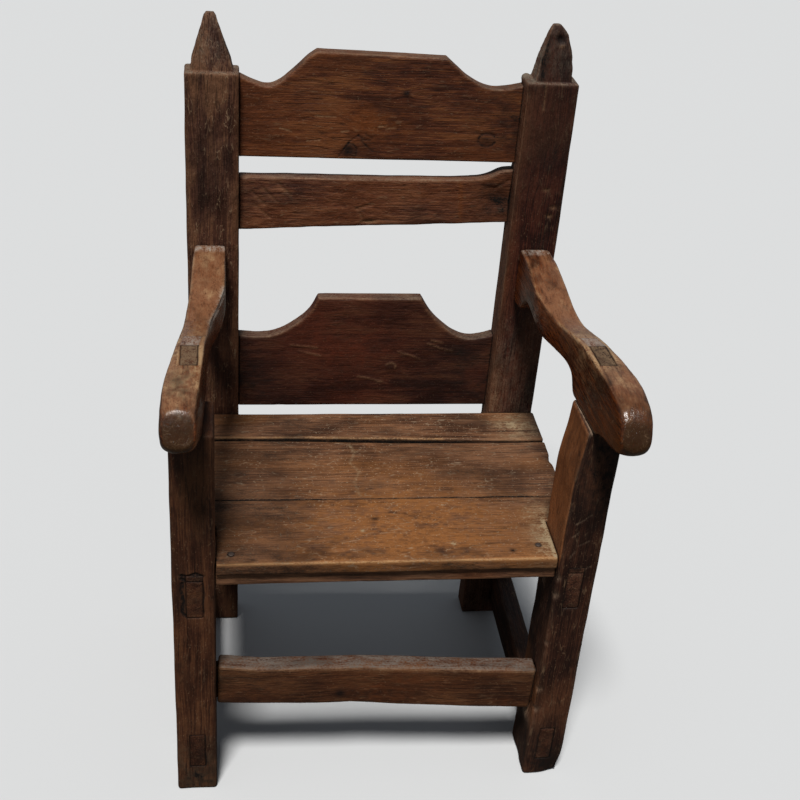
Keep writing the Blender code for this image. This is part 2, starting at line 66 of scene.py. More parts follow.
# Joints: a neighbour closer than SHELTER keeps a timber from wear. Where the gap is no wider than TIGHT,
# both sides swell to meet in its middle, as wood does in an old joint
SHELTER = 5 * MM
TIGHT = 0.6 * MM
SWELL = 0.52

# Wear: rounds of smoothing for a light and a heavy rub, how far a sharp arris sinks under the light one,
# and how far the fibres part round a knot
LIGHT_RUB, HEAVY_RUB = 5, 16
ARRIS_SINKS = 0.35 * MM
FIBRES_PART = 6 * MM

# Places on the chair that the wear is set out from
POST_FACE = 0.221
BACK_FACE = 0.242
SEAT_TOP = 0.440
FRONT_EDGE = -0.1635
BOARD_JOINT = -0.0157
LEG_FRONT = -0.1655
LEG_LEAN = 9 * MM
LEG_INNER, CHIP_FRONT = 0.2425, -0.164
STRETCHER_FRONT = -0.147
TENON_NEAR, TENON_FAR = 0.2605, 0.2840
TENON_FRONT, TENON_BACK, PATCH_BACK = -0.138, -0.0795, -0.045
TENON_SKEW = 0.1
TENON_HEIGHTS = (0.729, 0.735, 0.741)
PALE_LINE_OFF = 2.4 * MM
NOSE_BACK = 6 * MM
NOSE_LIFT = 6 * MM
NOSE_TURN = (0, -0.233, 0.737)
NOSE_SLOPE = (0, -1.6, 1)
NOSE_WORN = {"left": 0.75, "right": 0.45}

# Marks on the skin, mostly of use, dirt and end grain. Some are painted light instead: grime also paints
# shade in the seat's gaps, warm paints light on faces turned to the left, warm and bare a highlight along
# the seat's front arris, bare glints on the crest, dust sheen on the arms' inner flanks, and end partly
# shade on the arms' noses
MARKS = ("bare", "warm", "grime_and_shade", "dust", "end", "knot")
UP, FRONT, BACK, LEFT = (0, 0, 1), (0, -1, 0), (0, 1, 0), (-1, 0, 0)
SIDES = {"left": -1, "right": 1}


def linear(code):
    """An sRGB hex colour as the linear values a shader takes."""
    parts = [int(code[i : i + 2], 16) / 255 for i in (0, 2, 4)]
    return [c / 12.92 if c <= 0.04045 else ((c + 0.055) / 1.055) ** 2.4 for c in parts] + [1.0]


def noise(points, size, seed):
    """Smooth random values from -1 to 1 at the points, with features about size across."""
    cells = points / np.array(size) + 31.7 * seed
    corner = np.floor(cells)
    part = cells - corner
    part = part * part * (3 - 2 * part)
    total = np.zeros(len(points))
    for step in product((0, 1), repeat=3):
        weight = np.prod(np.where(step, part, 1 - part), axis=1)
        key = (corner + step) @ np.array((127.1, 311.7, 74.7))
        total += weight * (2 * ((np.sin(key) * 43758.5453) % 1) - 1)
    return total


def rise(values, low, high):
    """0 below low, 1 above high, and smooth between."""
    part = np.clip((values - low) / (high - low), 0, 1)
    return part * part * (3 - 2 * part)


def neighbours(node):
    """The solids of all the other pieces, to measure how close they come."""
    points, faces = [], []
    for name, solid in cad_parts.items():
        if name != node:
            first = len(points)
            points += [v.co for v in solid.data.vertices]
            faces += [[first + i for i in face.vertices] for face in solid.data.polygons]
    return BVHTree.FromPolygons(points, faces)


class Timber:
    """A close-set copy of one CAD piece. Its skin is worked point by point and kept as a new piece."""

    def __init__(self, node, along, seed, skin=SKIN):
        self.node, self.along, self.seed = node, "XYZ".index(along), seed
        self.order = [self.along] + [k for k in range(3) if k != self.along]
        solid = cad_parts[node]
        self.piece = bpy.data.objects.new("worn_" + node, solid.data.copy())
        bpy.context.scene.collection.objects.link(self.piece)
        remesh = self.piece.modifiers.new("close skin", "REMESH")
        remesh.mode = "VOXEL"
        remesh.voxel_size = skin
        self.piece.modifiers.new("back on the solid", "SHRINKWRAP").target = solid
        depsgraph = bpy.context.evaluated_depsgraph_get()
        self.mesh = bpy.data.meshes.new_from_object(self.piece.evaluated_get(depsgraph))
        self.piece.modifiers.clear()
        self.piece.data = self.mesh
        count = len(self.mesh.vertices)
        ends = np.empty(2 * len(self.mesh.edges), np.int32)
        self.mesh.edges.foreach_get("vertices", ends)
        self.ends = ends.reshape(-1, 2)
        start = np.empty(3 * count)
        self.mesh.vertices.foreach_get("co", start)
        self.start = start.reshape(-1, 3)
        self.at = self.start.copy()
        self.turn()
        self.flat = self.out
        self.marks = {name: np.zeros(count) for name in MARKS}
        self.grain = self.start[:, self.order] + np.array((0.37, 0.11, 0.23)) * seed
        others = neighbours(node)
        found = (others.find_nearest(point, SHELTER)[3] for point in self.start.tolist())
        self.gap = np.array([SHELTER if away is None else away for away in found])
        self.sheltered = 1 - rise(self.gap, 0.15 * SHELTER, SHELTER)
        self.push(np.where(self.gap < TIGHT, -SWELL * self.gap, 0.0))
        dirt = 1 - rise(self.gap, 0.5 * MM, 2.2 * MM)
        self.marks["grime_and_shade"] += dirt * (0.55 + 0.35 * self.noise(0.012, 0.012, 9))

    def turn(self):
        """Reads which way the skin faces."""
        self.mesh.vertices.foreach_set("co", self.at.ravel())
        self.mesh.update()
        out = np.empty(3 * len(self.at))
        self.mesh.vertices.foreach_get("normal", out)
        self.out = out.reshape(-1, 3)

    def facing(self, way, low=0.45, high=0.85):
        """1 where the unworn skin faces a way, 0 where it faces elsewhere."""
        return rise(self.flat @ np.array(way, float), low, high)

    def beyond(self, axis, low, high):
        """0 before low along an axis, 1 beyond high; the other way round where low is the greater."""
        values = self.start[:, "XYZ".index(axis)]
        return rise(values, low, high) if low < high else 1 - rise(values, high, low)

    def rounded(self, passes):
        """The skin with its arrises and hollows rounded off."""
        near = np.r_[self.ends[:, 0], self.ends[:, 1]]
        far = np.r_[self.ends[:, 1], self.ends[:, 0]]
        share = np.bincount(near, minlength=len(self.at))[:, None]
        points = self.at
        for _ in range(passes):
            sums = np.stack([np.bincount(near, points[far, k], len(points)) for k in range(3)], axis=1)
            points = points + 0.5 * (sums / share - points)
        return points

    def sunk(self, passes):
        """How far the skin would sink at each point if its arrises were rubbed round."""
        return np.maximum(-((self.rounded(passes) - self.at) * self.out).sum(axis=1), 0)

    def ease(self, passes, where):
        """Rounds the skin off where it is free of joints."""
        free = where * (1 - self.sheltered)
        self.at = self.at + (self.rounded(passes) - self.at) * free[:, None]
        self.turn()

    def cut(self, place, way, share):
        """Takes off a share of what stands past a flat that runs through a place and faces a way."""
        way = np.array(way) / np.linalg.norm(way)
        self.at = self.at - share * np.maximum((self.at - np.array(place)) @ way, 0)[:, None] * way
        self.turn()

    def push(self, depth):
        """Moves the skin inward by a depth at each point."""
        self.at = self.at - self.out * np.broadcast_to(depth, len(self.at))[:, None]

    def noise(self, length, width, seed=0):
        """Noise drawn out along the grain."""
        size = np.full(3, width)
        size[self.along] = length
        return noise(self.start, size, self.seed + seed)

    def close(self, place, reach):
        """How close each point is to a place: 1 there, falling away over the reach."""
        return np.exp(-(((self.start - np.array(place)) / np.array(reach)) ** 2).sum(axis=1))

    def along_line(self, line, width):
        """How close each point is to a line of places: 1 on it, falling away over the width."""
        best = np.full(len(self.start), np.inf)
        for a, b in zip(np.array(line), np.array(line)[1:]):
            way = b - a
            share = np.clip((self.start - a) @ way / (way @ way), 0, 1)
            best = np.minimum(best, ((self.start - a - share[:, None] * way) ** 2).sum(axis=1))
        return np.exp(-best / width**2)

    def wear(self, least=0.2, most=0.8, deep=0.4, chips=0.4, rub=0.3):
        """Rounds the arrises, here a little and there a lot, and chips them, away from the joints."""
        free = 1 - self.sheltered
        first = self.sunk(LIGHT_RUB)
        self.arris = np.clip(first / ARRIS_SINKS, 0, 1)
        uneven = rise(self.noise(0.09, 0.03, 1), -0.3, 0.7)
        self.push(first * free * (least + (most - least) * uneven))
        self.turn()
        chip = rise(self.noise(0.019, 0.012, 3), 0.45, 0.8)
        chip *= rise(self.noise(0.13, 0.05, 8), -0.2, 0.5)
        rubbed = deep * rise(self.noise(0.075, 0.03, 2), 0.0, 0.8)
        self.push(self.sunk(HEAVY_RUB) * free * (rubbed + chips * chip))
        self.turn()
        scuffs = rise(self.noise(0.12, 0.04, 4), -0.6, 0.5)
        scuffs *= 0.6 + 0.4 * self.noise(0.007, 0.005, 5)
        self.marks["bare"] += self.arris * free * (rub * scuffs + 0.8 * rub * chip)
        self.marks["warm"] += 0.4 * rise(self.noise(0.11, 0.05, 17), 0.0, 0.7)
        dirt = self.noise(0.07, 0.03, 18) + 0.5 * self.noise(0.02, 0.01, 19)
        self.marks["grime_and_shade"] += 0.3 * rise(dirt, 0.1, 0.9)

    def hew(self, height, length=0.07, width=0.03, seed=6):
        """Leaves the low waves of the adze and the plane."""
        wave = self.noise(length, width, seed) + 0.45 * self.noise(length / 2.3, width / 2.3, seed + 1)
        self.push(-height * wave * (1 - self.sheltered))

    def dent(self, place, reach, depth, kind=None, strength=0.0):
        """Presses the skin in at a place, or raises it where depth is below zero, and may mark it."""
        near = self.close(place, reach)
        self.push(depth * near)
        if kind:
            self.marks[kind] += strength * near

    def groove(self, line, width, depth, kind="grime_and_shade", strength=0.8):
        """A crack or a scratch along a line of places."""
        near = self.along_line(line, width)
        self.push(depth * near)
        self.marks[kind] += strength * near

    def knot(self, place, reach, height=0.0, dark=1.0):
        """A knot: the fibres part round it, and its heart is dark."""
        near = self.close(place, reach)
        wide = self.close(place, np.array(reach) * 2.4)
        offset = (self.start - np.array(place))[:, self.order] / np.array(reach)[self.order]
        self.grain[:, 1:] += (np.tanh(offset) * FIBRES_PART * wide[:, None])[:, 1:]
        self.marks["knot"] = np.maximum(self.marks["knot"], dark * near)
        self.push(-height * near)

    def stain(self, kind, place, reach, strength):
        """Marks the skin round a place, in an uneven patch."""
        uneven = 1 + 0.5 * self.noise(0.030, 0.015, 10) + 0.8 * self.noise(0.007, 0.005, 11)
        self.marks[kind] += strength * self.close(place, reach) * np.maximum(uneven, 0)

    def keep(self, finish):
        """Writes the worked skin into the piece and puts it in the CAD piece's place."""
        slot, material = FINISHES[finish]
        self.at[:, 2] = np.maximum(self.at[:, 2], 0)
        self.mesh.vertices.foreach_set("co", self.at.ravel())
        for name, values in self.marks.items():
            mark = self.mesh.attributes.new(name, "FLOAT", "POINT")
            mark.data.foreach_set("value", np.clip(values, 0, 1))
        fibres = self.mesh.attributes.new("grain", "FLOAT_VECTOR", "POINT")
        fibres.data.foreach_set("vector", self.grain.ravel())
        self.mesh.polygons.foreach_set("use_smooth", np.ones(len(self.mesh.polygons), bool))
        self.mesh.materials.clear()
        self.mesh.materials.append(material)
        self.mesh.update()
        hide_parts(self.node)
        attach(self.piece, "root")


def add(tree, kind, links=(), **settings):
    """Adds a node. links gives an input, by name or number, a socket to follow or a value to hold."""
    made = tree.nodes.new("ShaderNode" + kind)
    for name, value in settings.items():
        setattr(made, name, value)
    for key, value in dict(links).items():
        if isinstance(value, bpy.types.NodeSocket):
            tree.links.new(value, made.inputs[key])
        else:
            made.inputs[key].default_value = value
    return made


# Grain layers: size along and across the fibres, and detail. The finest real fibres are thinner than the
# picture can show, so fibre, pores and specks are drawn about twice as coarse
LAYERS = {
    "fibre": (0.110, 0.0016, 4.0),
    "bands": (0.180, 0.0110, 3.0),
    "patina": (0.110, 0.0500, 4.0),
    "pores": (0.014, 0.0010, 2.0),
    "specks": (0.0030, 0.0022, 1.0),
    "dents": (0.022, 0.0110, 4.0),
    "cracks": (0.130, 0.0100, 1.0),
    "scratches": (0.055, 0.0080, 1.0),
}
# Thin lines follow the middle value of their layer: half width in that layer's values, and where they show
LINES = {"cracks": (0.035, "patina", 0.50, 0.62), "scratches": (0.030, "dents", 0.50, 0.62)}
# Spots show where their layer is high
SPOTS = {"pores": (0.57, 0.66), "specks": (0.66, 0.74)}
# How much the fibres and dents break up each mark of use and each mark of painted light
BROKEN = {"bare": 3.0, "warm": 1.2, "grime_and_shade": 1.5, "dust": 4.0, "end": 0.8, "knot": 0.8}
# Fibres sway off straight in waves of this size, along and across them
SWAY_ALONG, SWAY_ACROSS = 0.14, 0.04
# How much rougher dust and grime make the wax; the grime mark also carries painted shade
DULLED = 0.3
# The order in which the layers lie on the stain
LAID = ("warm", "end", "cracks", "pores", "bare", "scratches", "specks", "knot", "dust", "grime_and_shade")


def grain_layers(tree, look):
    """Every layer of the grain, on fibres that wander a few millimetres off straight."""
    grain = add(tree, "Attribute", attribute_name="grain").outputs["Vector"]
    waves = (1 / SWAY_ALONG, 1 / SWAY_ACROSS, 1 / SWAY_ACROSS)
    slow = add(tree, "Mapping", {"Vector": grain, "Scale": waves})
    sway = add(tree, "TexNoise", {"Vector": slow.outputs[0], "Scale": 1.0, "Detail": 2.0})
    inputs = {0: sway.outputs["Color"], 1: (0.5, 0.5, 0.5)}
    sway = add(tree, "VectorMath", inputs, operation="SUBTRACT")
    inputs = {0: sway.outputs[0], 1: (0.0, look["sway"], look["sway"]), 2: grain}
    bent = add(tree, "VectorMath", inputs, operation="MULTIPLY_ADD").outputs[0]
    layers = {}
    for layer, (along, across, detail) in (LAYERS | look["sizes"]).items():
        spread = add(tree, "Mapping", {"Vector": bent, "Scale": (1 / along, 1 / across, 1 / across)})
        inputs = {"Vector": spread.outputs[0], "Scale": 1.0, "Detail": detail, "Roughness": 0.6}
        layers[layer] = add(tree, "TexNoise", inputs).outputs["Fac"]
    return layers


def timber_masks(tree, look, layers):
    """Where each spot, line and mark of use covers the stain."""
    masks = {}
    for layer, (low, high) in SPOTS.items():
        inputs = {"Value": layers[layer], "From Min": low, "From Max": high, "To Max": look[layer]}
        masks[layer] = add(tree, "MapRange", inputs, interpolation_type="SMOOTHSTEP").outputs[0]
    for layer, (width, where, low, high) in LINES.items():
        off = add(tree, "Math", {0: layers[layer], 1: 0.5}, operation="SUBTRACT").outputs[0]
        off = add(tree, "Math", {0: off}, operation="ABSOLUTE").outputs[0]
        inputs = {"Value": off, "From Max": width, "To Min": look[layer], "To Max": 0.0}
        thin = add(tree, "MapRange", inputs, interpolation_type="SMOOTHSTEP").outputs[0]
        inputs = {"Value": layers[where], "From Min": low, "From Max": high}
        shown = add(tree, "MapRange", inputs).outputs[0]
        masks[layer] = add(tree, "Math", {0: thin, 1: shown}, operation="MULTIPLY").outputs[0]
    uneven = add(tree, "Math", {0: layers["fibre"], 1: layers["dents"]}, operation="ADD").outputs[0]
    uneven = add(tree, "Math", {0: uneven, 1: layers["specks"]}, operation="ADD").outputs[0]
    for kind, broken in BROKEN.items():
        mark = add(tree, "Attribute", attribute_name=kind).outputs["Fac"]
        inputs = {0: uneven, 1: broken, 2: 1 - 1.5 * broken}
        change = add(tree, "Math", inputs, operation="MULTIPLY_ADD").outputs[0]
        shown = add(tree, "Math", {0: mark, 1: change}, operation="MULTIPLY", use_clamp=True)
        masks[kind] = shown.outputs[0]
    return masks


def old_timber(name, look):
    """Aged, stained pine: fibres, bands, dark pores and cracks, pale scratches, marks of use and some
    painted light and shade.
    """
    material = bpy.data.materials.new(name)
    material.use_nodes = True
    tree = material.node_tree
    shader = tree.nodes["Principled BSDF"]
    layers = grain_layers(tree, look)
    masks = timber_masks(tree, look, layers)

    # Tone of the stain: fibres, bands and patches together pick a colour from dark to light
    tone = 0.5
    for layer in ("fibre", "bands", "patina"):
        off = add(tree, "Math", {0: layers[layer], 1: 0.5}, operation="SUBTRACT").outputs[0]
        tone = add(tree, "Math", {0: off, 1: look[layer], 2: tone}, operation="MULTIPLY_ADD").outputs[0]
    ramp = add(tree, "ValToRGB", {"Fac": tone})
    stops = ramp.color_ramp.elements
    stops[0].position, stops[0].color = 0.2, linear(look["dark"])
    stops[1].position, stops[1].color = 0.8, linear(look["light"])
    stops.new(0.5).color = linear(look["mid"])
    colour = ramp.outputs["Color"]
    for kind in LAID:
        inputs = {0: masks[kind], 6: colour, 7: linear(look["of_" + kind])}
        colour = add(tree, "Mix", inputs, data_type="RGBA").outputs[2]
    tree.links.new(colour, shader.inputs["Base Color"])

    # Wax shine, dulled by dust and grime, the grime also where it is painted shade
    low, high = look["rough"]
    inputs = {"Value": layers["patina"], "From Min": 0.3, "From Max": 0.7, "To Min": low, "To Max": high}
    gloss = add(tree, "MapRange", inputs).outputs[0]
    dull = add(tree, "Math", {0: masks["dust"], 1: masks["grime_and_shade"]}, operation="MAXIMUM").outputs[0]
    inputs = {0: dull, 1: DULLED, 2: gloss}
    gloss = add(tree, "Math", inputs, operation="MULTIPLY_ADD", use_clamp=True).outputs[0]
    tree.links.new(gloss, shader.inputs["Roughness"])
    shader.inputs["Specular IOR Level"].default_value = look["shine"]

    # Relief of raised fibres, open pores and cracks, and old tool marks
    height = layers["fibre"]
    for relief, depth in ((masks["pores"], -0.8), (masks["cracks"], -1.2), (layers["dents"], 4.0)):
        height = add(tree, "Math", {0: relief, 1: depth, 2: height}, operation="MULTIPLY_ADD").outputs[0]
    bump = add(tree, "Bump", {"Height": height, "Strength": 1.0, "Distance": look["relief"]})
    tree.links.new(bump.outputs[0], shader.inputs["Normal"])
    return material


# Stain: the colours, strengths and finish that every timber starts from. LOOKS says what differs on each
STAIN = {
    "dark": "371b10", "mid": "5a301d", "light": "794929", "sway": 0.010,
    "fibre": 2.0, "bands": 0.8, "patina": 2.2, "sizes": {},
    "pores": 0.35, "specks": 0.40, "cracks": 0.5, "scratches": 0.30,
    "of_warm": "74401f", "of_bare": "8a684b", "of_end": "5f4a3a", "of_knot": "1c0e09",
    "of_dust": "7d7062", "of_grime_and_shade": "120a06", "of_pores": "1d0f09", "of_specks": "8f7358",
    "of_cracks": "170c07", "of_scratches": "8f7358",
    "rough": (0.48, 0.64), "shine": 0.25, "relief": 0.5 * MM,
}
LOOKS = {
    # Crest: planed pine under a warm brown stain, satin, with long fine fibres
    "crest": ("back_wood", "stained_pine_crest", {}),
    # Middle rail: the same stain over a rougher, adzed face
    "middle": (
        "back_wood",
        "stained_adzed_rail",
        {
            "dark": "3a1e14", "mid": "5c3424", "light": "7b4f36",
            "scratches": 0.45, "relief": 0.8 * MM,
        },
    ),
    # Lower panel: the darkest and reddest board, hardly rubbed
    "panel": (
        "back_wood",
        "dark_stained_panel",
        {
            "dark": "26110c", "mid": "3f2016", "light": "563321", "of_warm": "5a2a1a",
            "specks": 0.2, "scratches": 0.1, "fibre": 1.6,
        },
    ),
    # Left post: dull dark brown on coarse hewn stock, covered in short pale scratches
    "post_left": (
        "post_wood",
        "hewn_left_post",
        {
            "dark": "301a12", "mid": "503226", "light": "745039", "of_warm": "65402a",
            "of_scratches": "a08468", "scratches": 0.8, "fibre": 1.4, "relief": 0.9 * MM,
            "sizes": {"scratches": (0.018, 0.0060, 1.0)},
        },
    ),
    # Right post: the same, but redder and darker
    "post_right": (
        "post_wood",
        "hewn_right_post",
        {
            "dark": "200d09", "mid": "381710", "light": "52291b", "of_warm": "6a412c",
            "relief": 0.7 * MM,
        },
    ),
    # Left leg: brown stain, straight grain
    "leg_left": (
        "leg_wood",
        "stained_left_leg",
        {
            "dark": "2c160c", "mid": "48291a", "light": "623e27", "of_warm": "583420",
            "of_dust": "78614a",
        },
    ),
    # Right leg: darker, scratched and knobbly
    "leg_right": (
        "leg_wood",
        "stained_right_leg",
        {
            "dark": "22100a", "mid": "381f15", "light": "523222", "of_warm": "985f38",
            "of_bare": "a58c76", "of_dust": "78614a", "scratches": 0.45,
        },
    ),
    # Arms: dark stain on the sides, bare pine polished by hands on top
    "arm": (
        "arm_wood",
        "hand_polished_arms",
        {
            "dark": "2e1105", "mid": "4c1f0a", "light": "6e3613", "of_warm": "81573c",
            "of_bare": "b08f6a", "of_end": "38220f", "of_dust": "a0968c",
            "rough": (0.11, 0.27), "shine": 0.32, "relief": 0.25 * MM,
            "scratches": 0.35, "specks": 0.15, "cracks": 0.3, "fibre": 2.8,
            "sizes": {"fibre": (0.080, 0.0032, 4.0)},
        },
    ),
    # Seat: worn orange-brown in the middle, dark and grey at the edges
    "seat": (
        "seat_wood",
        "sat_on_pine_seat",
        {
            "dark": "40291c", "mid": "644430", "light": "825b40", "of_warm": "8f5d33",
            "of_bare": "b3875a", "of_specks": "a8937a", "of_scratches": "a8937a", "of_dust": "a08c6e",
            "specks": 0.75, "scratches": 0.5, "fibre": 2.6,
            "sizes": {"scratches": (0.030, 0.012, 1.0)},
        },
    ),
    # Front rail: paler pine, hardly stained
    "rail": ("rail_wood", "pale_pine_rail", {"dark": "4c3325", "mid": "6d4a35", "light": "896348"}),
    # Wedges: the same pine, darkened with the legs they are driven into
    "wedge": ("rail_wood", "darkened_pine_wedges", {"dark": "2c1a11", "mid": "45291c", "light": "5e3f2c"}),
    # Front stretcher: brown stain, its top polished by feet
    "stretcher": (
        "stretcher_wood",
        "foot_worn_stretcher",
        {
            "dark": "2e180d", "mid": "4b2c1a", "light": "654026", "of_warm": "5f341b",
            "of_dust": "6c625a",
        },
    ),
}
FINISHES = {key: (slot, old_timber(name, STAIN | look)) for key, (slot, name, look) in LOOKS.items()}


def forged_iron():
    """Nails: dull black iron from the forge, rusty brown in the hollows."""
    material = bpy.data.materials.new("forged_iron")
    material.use_nodes = True
    tree = material.node_tree
    shader = tree.nodes["Principled BSDF"]
    place = add(tree, "TexCoord").outputs["Object"]
    rust = add(tree, "TexNoise", {"Vector": place, "Scale": 1 / 0.002, "Detail": 3.0}).outputs["Fac"]
    ramp = add(tree, "ValToRGB", {"Fac": rust})
    ramp.color_ramp.elements[0].color = linear("5c5450")
    ramp.color_ramp.elements[1].color = linear("3c2a20")
    tree.links.new(ramp.outputs["Color"], shader.inputs["Base Color"])
    shader.inputs["Metallic"].default_value = 0.5
    shader.inputs["Roughness"].default_value = 0.65
    bump = add(tree, "Bump", {"Height": rust, "Strength": 0.6, "Distance": 0.3 * MM})
    tree.links.new(bump.outputs[0], shader.inputs["Normal"])
    return material


FINISHES["iron"] = ("nail_iron", forged_iron())


def on_back(*places):
    """Places on the front of the back boards, from (x, z) pairs."""
    return [(x, BACK_FACE, z) for x, z in places]


def on_post(*places):
    """Places on the front of the back posts, from (x, z) pairs."""
    return [(x, POST_FACE, z) for x, z in places]


def on_leg(*places):
    """Places on the front of the legs, from (x, z) pairs."""
    return [(x, LEG_FRONT, z) for x, z in places]


def on_seat(*places):
    """Places on the top of the seat, from (x, y) pairs."""
    return [(x, y, SEAT_TOP) for x, y in places]


def oval(middle, radii, turns):
    """Places round part of an oval on the back boards, at turns in radians."""
    (x, z), (wide, high) = middle, radii
    return on_back(*((x + wide * cos(turn), z + high * sin(turn)) for turn in turns))


def sawn_top(board, low):
    """The sawn upper edge of a back board: greyish bare wood."""
    up = board.facing(UP) * board.beyond("Z", low, low + 0.02)
    board.marks["dust"] += 0.2 * up
    board.marks["bare"] += 0.15 * up


CREST_CUTS = (
    on_back((-0.060, 0.875), (-0.047, 0.896), (-0.042, 0.901), (-0.032, 0.908)),
    on_back((-0.047, 0.896), (-0.040, 0.894), (-0.034, 0.888), (-0.035, 0.877)),
    on_back((-0.033, 0.908), (-0.024, 0.901), (-0.015, 0.901)),
    on_back((-0.028, 0.900), (-0.019, 0.891), (-0.010, 0.884)),
    on_back((-0.022, 0.910), (-0.012, 0.904)),
)
CREST_GLINTS = (
    on_back((-0.003, 0.922), (0.007, 0.923)),
    on_back((0.007, 0.919), (0.021, 0.921)),
    on_back((-0.058, 0.913), (-0.048, 0.914)),
    on_back((-0.147, 0.916), (-0.131, 0.912)),
    on_back((-0.107, 0.898), (-0.089, 0.899)),
    on_back((-0.096, 0.935), (-0.067, 0.935)),
)
# Knots of the crest: place, size in mm and how dark
CREST_KNOTS = (((-0.045, 0.885), 11, 0.5), ((0.034, 0.973), 6, 1.0), ((0.159, 0.906), 9, 0.55))


def make_crest():
    """Top board of the back: planed, with a scarred knot and cuts left of the middle."""
    crest = Timber("crest_rail", "X", 1, FINE_SKIN)
    crest.wear(most=0.7, deep=0.3)
    crest.hew(0.3 * MM, 0.11, 0.05)
    sawn_top(crest, 0.95)
    for place, reach, dark in CREST_KNOTS:
        crest.knot(*on_back(place), (reach * MM, 0.03, 0.8 * reach * MM), 0.3 * MM, dark)
    for cut in CREST_CUTS:
        crest.groove(cut, 1.4 * MM, 0.7 * MM, "grime_and_shade", 0.5)
    for glint in CREST_GLINTS:
        crest.groove(glint, 1.3 * MM, 0.4 * MM, "bare", 0.8)
    crest.stain("grime_and_shade", *on_back((-0.046, 0.884)), (0.010, 0.03, 0.009), 0.6)
    crest.stain("grime_and_shade", *on_back((-0.022, 0.897)), (0.012, 0.03, 0.009), 0.3)
    ring = oval((0.159, 0.906), (0.013, 0.010), np.linspace(0.6, 5.9, 14))
    crest.groove(ring, 1.9 * MM, 0.6 * MM, "grime_and_shade", 0.6)
    crest.stain("warm", *on_back((-0.02, 0.925)), (0.05, 0.05, 0.03), 0.7)
    crest.stain("grime_and_shade", *on_back((0.19, 0.93)), (0.05, 0.05, 0.07), 0.35)
    crest.keep("crest")


RAIL_TOOL_MARKS = (
    on_back((-0.187, 0.817), (-0.168, 0.797)),
    on_back((-0.172, 0.824), (-0.150, 0.802)),
    on_back((-0.183, 0.795), (-0.160, 0.776)),
    on_back((-0.150, 0.831), (-0.128, 0.812)),
    on_back((-0.029, 0.792), (-0.006, 0.800)),
    on_back((-0.029, 0.792), (-0.020, 0.778)),
    on_back((-0.020, 0.771), (0.004, 0.773)),
)


def make_middle_rail():
    """Middle board of the back: adzed, with a hewn hollow at its right end."""
    rail = Timber("middle_back_rail", "X", 2)
    rail.wear(most=1.0, deep=0.6, rub=0.4)
    rail.hew(0.9 * MM, 0.05, 0.025)
    sawn_top(rail, 0.82)
    rail.dent(*on_back((0.183, 0.812)), (0.026, 0.02, 0.020), 5 * MM, "grime_and_shade", 0.3)
    rail.groove(on_back((0.162, 0.832), (0.180, 0.829), (0.200, 0.842)), 3.2 * MM, 1.4 * MM, "grime_and_shade", 0.2)
    for mark in RAIL_TOOL_MARKS:
        rail.groove(mark, 2.4 * MM, 1.2 * MM, "bare", 0.18)
    rail.dent(*on_back((-0.012, 0.771)), (0.012, 0.02, 0.004), 2 * MM, "bare", 0.6)
    rail.groove(on_back((0.127, 0.835), (0.131, 0.777)), 4 * MM, 0.2 * MM, "warm", 0.5)
    rail.stain("grime_and_shade", *on_back((0.19, 0.80)), (0.05, 0.05, 0.06), 0.35)
    rail.keep("middle")


PANEL_RIPPLES = (
    on_back((0.051, 0.544), (0.071, 0.538), (0.087, 0.531)),
    on_back((0.099, 0.559), (0.116, 0.553)),
    on_back((0.105, 0.566), (0.122, 0.561)),
    on_back((0.118, 0.551), (0.140, 0.546)),
    on_back((-0.012, 0.498), (0.008, 0.494), (0.027, 0.487)),
    on_back((-0.122, 0.556), (-0.081, 0.551)),
    on_back((-0.111, 0.545), (-0.075, 0.537)),
)


def make_panel():
    """Lowest board of the back: dark, with a raised knot and ripples in the grain."""
    panel = Timber("lower_back_panel", "X", 3)
    panel.wear(most=0.6, deep=0.2)
    panel.hew(0.35 * MM, 0.11, 0.05)
    sawn_top(panel, 0.55)
    panel.knot(*on_back((0.040, 0.517)), (0.010, 0.03, 0.008), 1.5 * MM, 0.5)
    ring = oval((0.041, 0.517), (0.008, 0.006), np.linspace(-0.5, 2.6, 9))
    panel.groove(ring, 1.6 * MM, -0.8 * MM, "bare", 0.55)
    for ripple in PANEL_RIPPLES:
        panel.groove(ripple, 1.9 * MM, -1.0 * MM, "bare", 0.3)
    panel.stain("warm", *on_back((-0.03, 0.55)), (0.10, 0.05, 0.07), 0.45)
    for x in (-0.20, 0.19):
        panel.stain("grime_and_shade", *on_back((x, 0.50)), (0.07, 0.05, 0.10), 0.3)
    panel.keep("panel")


def make_back_rail():
    """Rail under the back of the seat."""
    rail = Timber("seat_rail_back", "X", 4, COARSE_SKIN)
    rail.wear()
    rail.hew(0.4 * MM)
    rail.keep("panel")


def weathered_finial(post, grey):
    """Shoulder and finial: weathered grey, with dust on the ledge."""
    post.marks["dust"] += 0.35 * post.facing(UP) * post.beyond("Z", 0.985, 0.995)
    post.marks["dust"] += grey * post.beyond("Z", 0.99, 1.03) * (1 + 0.6 * post.noise(0.006, 0.005, 20))
    post.push(-0.7 * MM * post.noise(0.012, 0.006, 12) * post.beyond("Z", 1.0, 1.02))


# The split down the front of the right finial
FINIAL_SPLIT = ((0.233, 0.237, 1.061), (0.226, 0.232, 1.030), (0.227, 0.227, 1.003))


